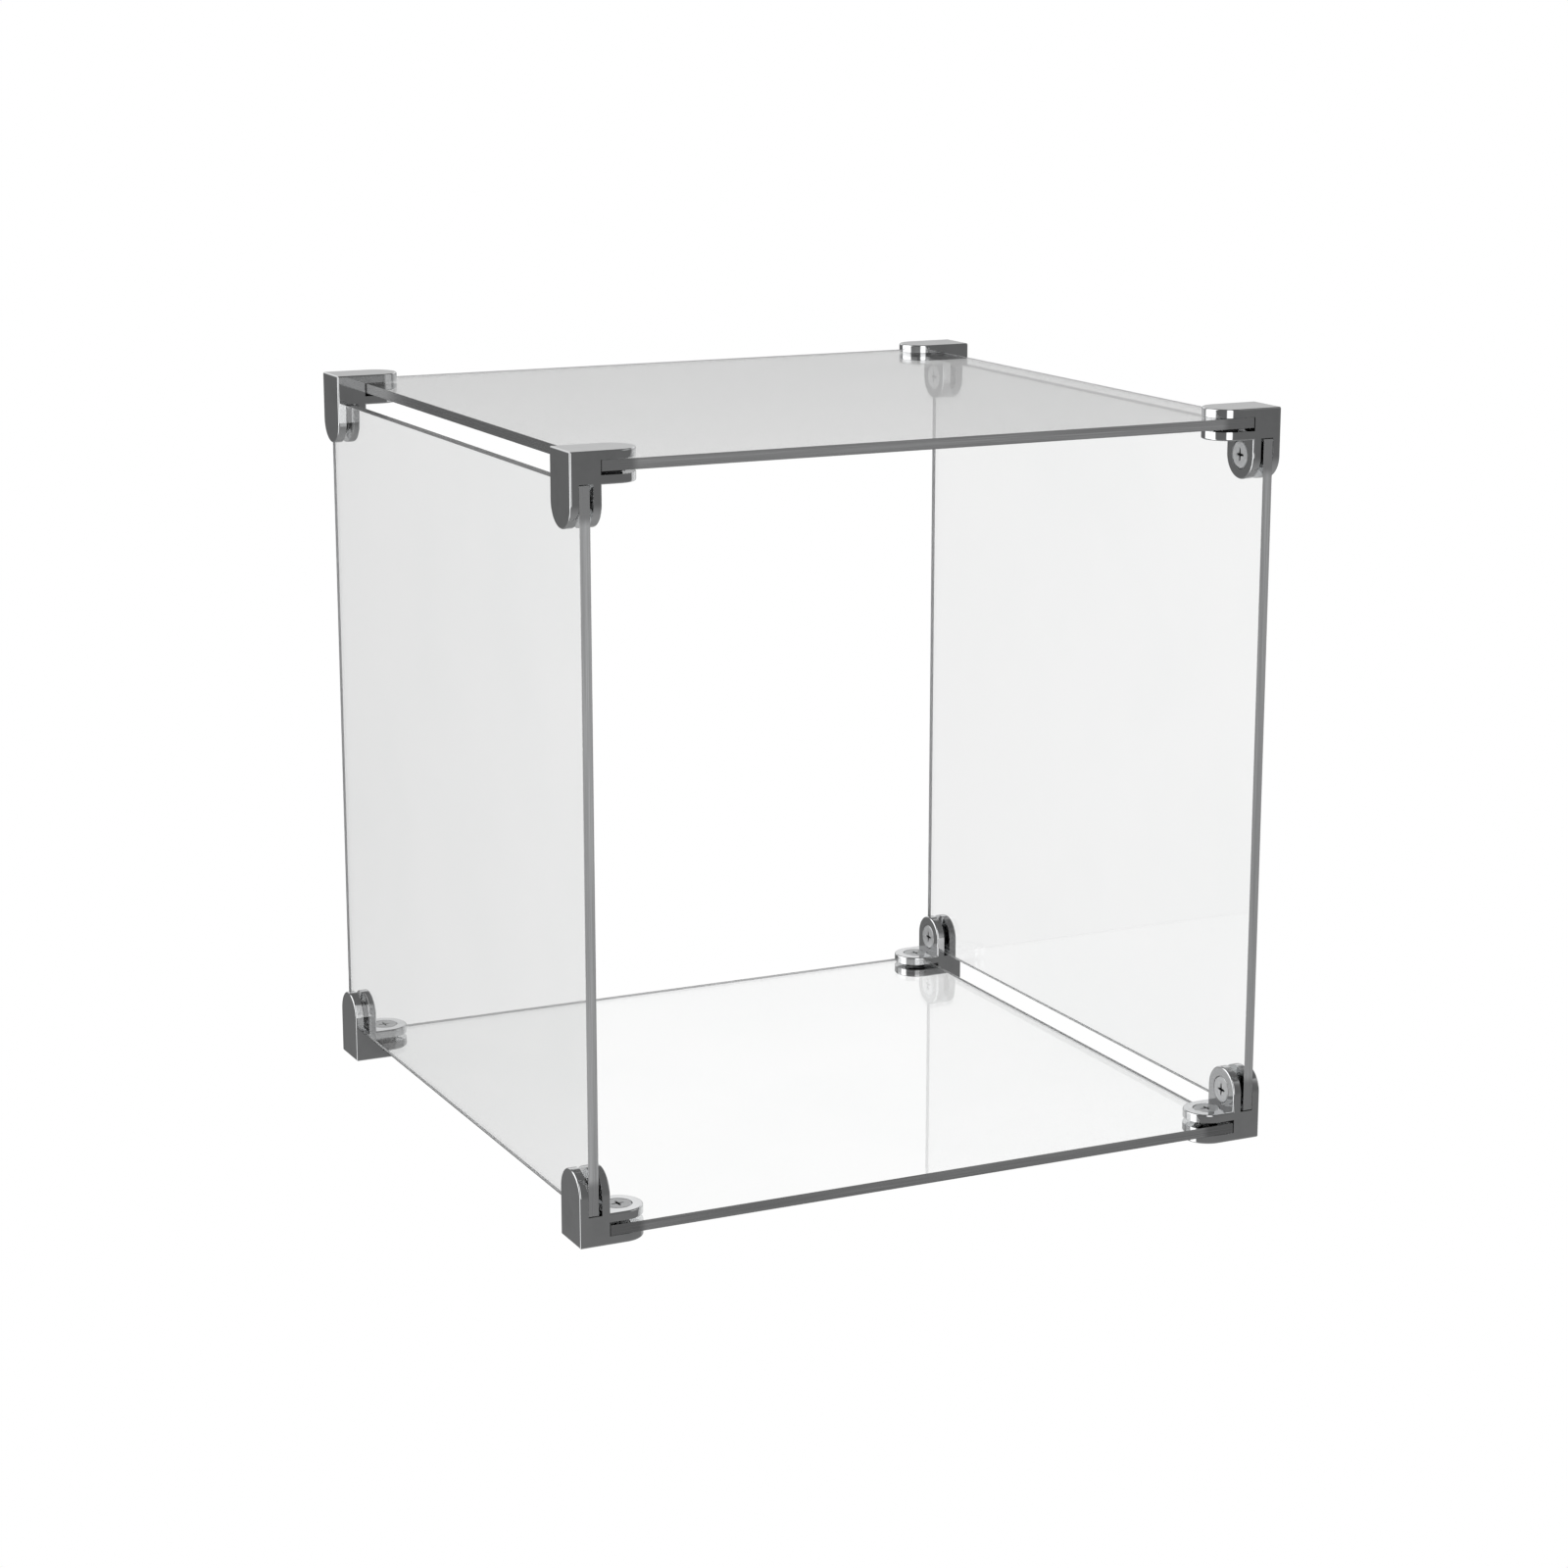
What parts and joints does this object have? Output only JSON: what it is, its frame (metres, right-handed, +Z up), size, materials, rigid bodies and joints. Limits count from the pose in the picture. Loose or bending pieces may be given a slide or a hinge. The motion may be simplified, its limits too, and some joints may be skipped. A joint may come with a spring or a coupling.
{
  "type": "acrylic display cube",
  "caption": "Open-fronted display cube of clear acrylic panels, held at the corners by two-way chrome clamps with grub screws and rubber pads.",
  "frame": {"origin": "on the resting plane, below the centre of the cube", "axes": "+X to the right and +Y to the back as seen from the open front, +Z up; the cube is open at the front (-Y) and the back (+Y)"},
  "size_m": [0.218, 0.2, 0.218],
  "materials": {
    "clear_acrylic": "clear, polished faces and edges",
    "polished_chrome": "polished chrome plate",
    "screw_steel": "satin, turned face",
    "black_rubber": "matte, moulded"
  },
  "bodies": {
    "frame": {"bottom_panel": "clear_acrylic", "top_panel": "clear_acrylic", "left_panel": "clear_acrylic", "right_panel": "clear_acrylic", "clamp_bottom_left_front": "polished_chrome", "clamp_bottom_left_back": "polished_chrome", "clamp_bottom_right_front": "polished_chrome", "clamp_bottom_right_back": "polished_chrome", "clamp_top_left_front": "polished_chrome", "clamp_top_left_back": "polished_chrome", "clamp_top_right_front": "polished_chrome", "clamp_top_right_back": "polished_chrome"},
    "pad_bottom_left_front_level": {"pad_bottom_left_front_level": "black_rubber"},
    "screw_bottom_left_front_level": {"screw_bottom_left_front_level": "screw_steel"},
    "pad_bottom_left_front_upright": {"pad_bottom_left_front_upright": "black_rubber"},
    "screw_bottom_left_front_upright": {"screw_bottom_left_front_upright": "screw_steel"},
    "pad_bottom_left_back_level": {"pad_bottom_left_back_level": "black_rubber"},
    "screw_bottom_left_back_level": {"screw_bottom_left_back_level": "screw_steel"},
    "pad_bottom_left_back_upright": {"pad_bottom_left_back_upright": "black_rubber"},
    "screw_bottom_left_back_upright": {"screw_bottom_left_back_upright": "screw_steel"},
    "pad_bottom_right_front_level": {"pad_bottom_right_front_level": "black_rubber"},
    "screw_bottom_right_front_level": {"screw_bottom_right_front_level": "screw_steel"},
    "pad_bottom_right_front_upright": {"pad_bottom_right_front_upright": "black_rubber"},
    "screw_bottom_right_front_upright": {"screw_bottom_right_front_upright": "screw_steel"},
    "pad_bottom_right_back_level": {"pad_bottom_right_back_level": "black_rubber"},
    "screw_bottom_right_back_level": {"screw_bottom_right_back_level": "screw_steel"},
    "pad_bottom_right_back_upright": {"pad_bottom_right_back_upright": "black_rubber"},
    "screw_bottom_right_back_upright": {"screw_bottom_right_back_upright": "screw_steel"},
    "pad_top_left_front_level": {"pad_top_left_front_level": "black_rubber"},
    "screw_top_left_front_level": {"screw_top_left_front_level": "screw_steel"},
    "pad_top_left_front_upright": {"pad_top_left_front_upright": "black_rubber"},
    "screw_top_left_front_upright": {"screw_top_left_front_upright": "screw_steel"},
    "pad_top_left_back_level": {"pad_top_left_back_level": "black_rubber"},
    "screw_top_left_back_level": {"screw_top_left_back_level": "screw_steel"},
    "pad_top_left_back_upright": {"pad_top_left_back_upright": "black_rubber"},
    "screw_top_left_back_upright": {"screw_top_left_back_upright": "screw_steel"},
    "pad_top_right_front_level": {"pad_top_right_front_level": "black_rubber"},
    "screw_top_right_front_level": {"screw_top_right_front_level": "screw_steel"},
    "pad_top_right_front_upright": {"pad_top_right_front_upright": "black_rubber"},
    "screw_top_right_front_upright": {"screw_top_right_front_upright": "screw_steel"},
    "pad_top_right_back_level": {"pad_top_right_back_level": "black_rubber"},
    "screw_top_right_back_level": {"screw_top_right_back_level": "screw_steel"},
    "pad_top_right_back_upright": {"pad_top_right_back_upright": "black_rubber"},
    "screw_top_right_back_upright": {"screw_top_right_back_upright": "screw_steel"}
  },
  "joints": [
    {"name": "pad_bottom_left_front_level_travel", "type": "slide", "parent": "frame", "child": "pad_bottom_left_front_level", "axis": [0, 0, 1], "range_m": [0, 0.00075]},
    {"name": "screw_bottom_left_front_level_turn", "type": "hinge", "parent": "pad_bottom_left_front_level", "child": "screw_bottom_left_front_level", "pos_m": [-0.095, -0.093, 0.009], "axis": [0, 0, 1], "range_deg": [0, 360]},
    {"name": "pad_bottom_left_front_upright_travel", "type": "slide", "parent": "frame", "child": "pad_bottom_left_front_upright", "axis": [1, 0, 0], "range_m": [0, 0.00075]},
    {"name": "screw_bottom_left_front_upright_turn", "type": "hinge", "parent": "pad_bottom_left_front_upright", "child": "screw_bottom_left_front_upright", "pos_m": [-0.1, -0.093, 0.014], "axis": [1, 0, 0], "range_deg": [0, 360]},
    {"name": "pad_bottom_left_back_level_travel", "type": "slide", "parent": "frame", "child": "pad_bottom_left_back_level", "axis": [0, 0, 1], "range_m": [0, 0.00075]},
    {"name": "screw_bottom_left_back_level_turn", "type": "hinge", "parent": "pad_bottom_left_back_level", "child": "screw_bottom_left_back_level", "pos_m": [-0.095, 0.093, 0.009], "axis": [0, 0, 1], "range_deg": [0, 360]},
    {"name": "pad_bottom_left_back_upright_travel", "type": "slide", "parent": "frame", "child": "pad_bottom_left_back_upright", "axis": [1, 0, 0], "range_m": [0, 0.00075]},
    {"name": "screw_bottom_left_back_upright_turn", "type": "hinge", "parent": "pad_bottom_left_back_upright", "child": "screw_bottom_left_back_upright", "pos_m": [-0.1, 0.093, 0.014], "axis": [1, 0, 0], "range_deg": [0, 360]},
    {"name": "pad_bottom_right_front_level_travel", "type": "slide", "parent": "frame", "child": "pad_bottom_right_front_level", "axis": [0, 0, 1], "range_m": [0, 0.00075]},
    {"name": "screw_bottom_right_front_level_turn", "type": "hinge", "parent": "pad_bottom_right_front_level", "child": "screw_bottom_right_front_level", "pos_m": [0.095, -0.093, 0.009], "axis": [0, 0, 1], "range_deg": [0, 360]},
    {"name": "pad_bottom_right_front_upright_travel", "type": "slide", "parent": "frame", "child": "pad_bottom_right_front_upright", "axis": [-1, 0, 0], "range_m": [0, 0.00075]},
    {"name": "screw_bottom_right_front_upright_turn", "type": "hinge", "parent": "pad_bottom_right_front_upright", "child": "screw_bottom_right_front_upright", "pos_m": [0.1, -0.093, 0.014], "axis": [-1, 0, 0], "range_deg": [0, 360]},
    {"name": "pad_bottom_right_back_level_travel", "type": "slide", "parent": "frame", "child": "pad_bottom_right_back_level", "axis": [0, 0, 1], "range_m": [0, 0.00075]},
    {"name": "screw_bottom_right_back_level_turn", "type": "hinge", "parent": "pad_bottom_right_back_level", "child": "screw_bottom_right_back_level", "pos_m": [0.095, 0.093, 0.009], "axis": [0, 0, 1], "range_deg": [0, 360]},
    {"name": "pad_bottom_right_back_upright_travel", "type": "slide", "parent": "frame", "child": "pad_bottom_right_back_upright", "axis": [-1, 0, 0], "range_m": [0, 0.00075]},
    {"name": "screw_bottom_right_back_upright_turn", "type": "hinge", "parent": "pad_bottom_right_back_upright", "child": "screw_bottom_right_back_upright", "pos_m": [0.1, 0.093, 0.014], "axis": [-1, 0, 0], "range_deg": [0, 360]},
    {"name": "pad_top_left_front_level_travel", "type": "slide", "parent": "frame", "child": "pad_top_left_front_level", "axis": [0, 0, -1], "range_m": [0, 0.00075]},
    {"name": "screw_top_left_front_level_turn", "type": "hinge", "parent": "pad_top_left_front_level", "child": "screw_top_left_front_level", "pos_m": [-0.095, -0.093, 0.209], "axis": [0, 0, -1], "range_deg": [0, 360]},
    {"name": "pad_top_left_front_upright_travel", "type": "slide", "parent": "frame", "child": "pad_top_left_front_upright", "axis": [1, 0, 0], "range_m": [0, 0.00075]},
    {"name": "screw_top_left_front_upright_turn", "type": "hinge", "parent": "pad_top_left_front_upright", "child": "screw_top_left_front_upright", "pos_m": [-0.1, -0.093, 0.204], "axis": [1, 0, 0], "range_deg": [0, 360]},
    {"name": "pad_top_left_back_level_travel", "type": "slide", "parent": "frame", "child": "pad_top_left_back_level", "axis": [0, 0, -1], "range_m": [0, 0.00075]},
    {"name": "screw_top_left_back_level_turn", "type": "hinge", "parent": "pad_top_left_back_level", "child": "screw_top_left_back_level", "pos_m": [-0.095, 0.093, 0.209], "axis": [0, 0, -1], "range_deg": [0, 360]},
    {"name": "pad_top_left_back_upright_travel", "type": "slide", "parent": "frame", "child": "pad_top_left_back_upright", "axis": [1, 0, 0], "range_m": [0, 0.00075]},
    {"name": "screw_top_left_back_upright_turn", "type": "hinge", "parent": "pad_top_left_back_upright", "child": "screw_top_left_back_upright", "pos_m": [-0.1, 0.093, 0.204], "axis": [1, 0, 0], "range_deg": [0, 360]},
    {"name": "pad_top_right_front_level_travel", "type": "slide", "parent": "frame", "child": "pad_top_right_front_level", "axis": [0, 0, -1], "range_m": [0, 0.00075]},
    {"name": "screw_top_right_front_level_turn", "type": "hinge", "parent": "pad_top_right_front_level", "child": "screw_top_right_front_level", "pos_m": [0.095, -0.093, 0.209], "axis": [0, 0, -1], "range_deg": [0, 360]},
    {"name": "pad_top_right_front_upright_travel", "type": "slide", "parent": "frame", "child": "pad_top_right_front_upright", "axis": [-1, 0, 0], "range_m": [0, 0.00075]},
    {"name": "screw_top_right_front_upright_turn", "type": "hinge", "parent": "pad_top_right_front_upright", "child": "screw_top_right_front_upright", "pos_m": [0.1, -0.093, 0.204], "axis": [-1, 0, 0], "range_deg": [0, 360]},
    {"name": "pad_top_right_back_level_travel", "type": "slide", "parent": "frame", "child": "pad_top_right_back_level", "axis": [0, 0, -1], "range_m": [0, 0.00075]},
    {"name": "screw_top_right_back_level_turn", "type": "hinge", "parent": "pad_top_right_back_level", "child": "screw_top_right_back_level", "pos_m": [0.095, 0.093, 0.209], "axis": [0, 0, -1], "range_deg": [0, 360]},
    {"name": "pad_top_right_back_upright_travel", "type": "slide", "parent": "frame", "child": "pad_top_right_back_upright", "axis": [-1, 0, 0], "range_m": [0, 0.00075]},
    {"name": "screw_top_right_back_upright_turn", "type": "hinge", "parent": "pad_top_right_back_upright", "child": "screw_top_right_back_upright", "pos_m": [0.1, 0.093, 0.204], "axis": [-1, 0, 0], "range_deg": [0, 360]}
  ],
  "couplings": [
    {"joint": "screw_bottom_left_front_level_turn", "follows": "pad_bottom_left_front_level_travel", "rad_per_m": 8377.6},
    {"joint": "screw_bottom_left_front_upright_turn", "follows": "pad_bottom_left_front_upright_travel", "rad_per_m": 8377.6},
    {"joint": "screw_bottom_left_back_level_turn", "follows": "pad_bottom_left_back_level_travel", "rad_per_m": 8377.6},
    {"joint": "screw_bottom_left_back_upright_turn", "follows": "pad_bottom_left_back_upright_travel", "rad_per_m": 8377.6},
    {"joint": "screw_bottom_right_front_level_turn", "follows": "pad_bottom_right_front_level_travel", "rad_per_m": 8377.6},
    {"joint": "screw_bottom_right_front_upright_turn", "follows": "pad_bottom_right_front_upright_travel", "rad_per_m": 8377.6},
    {"joint": "screw_bottom_right_back_level_turn", "follows": "pad_bottom_right_back_level_travel", "rad_per_m": 8377.6},
    {"joint": "screw_bottom_right_back_upright_turn", "follows": "pad_bottom_right_back_upright_travel", "rad_per_m": 8377.6},
    {"joint": "screw_top_left_front_level_turn", "follows": "pad_top_left_front_level_travel", "rad_per_m": 8377.6},
    {"joint": "screw_top_left_front_upright_turn", "follows": "pad_top_left_front_upright_travel", "rad_per_m": 8377.6},
    {"joint": "screw_top_left_back_level_turn", "follows": "pad_top_left_back_level_travel", "rad_per_m": 8377.6},
    {"joint": "screw_top_left_back_upright_turn", "follows": "pad_top_left_back_upright_travel", "rad_per_m": 8377.6},
    {"joint": "screw_top_right_front_level_turn", "follows": "pad_top_right_front_level_travel", "rad_per_m": 8377.6},
    {"joint": "screw_top_right_front_upright_turn", "follows": "pad_top_right_front_upright_travel", "rad_per_m": 8377.6},
    {"joint": "screw_top_right_back_level_turn", "follows": "pad_top_right_back_level_travel", "rad_per_m": 8377.6},
    {"joint": "screw_top_right_back_upright_turn", "follows": "pad_top_right_back_upright_travel", "rad_per_m": 8377.6}
  ]
}
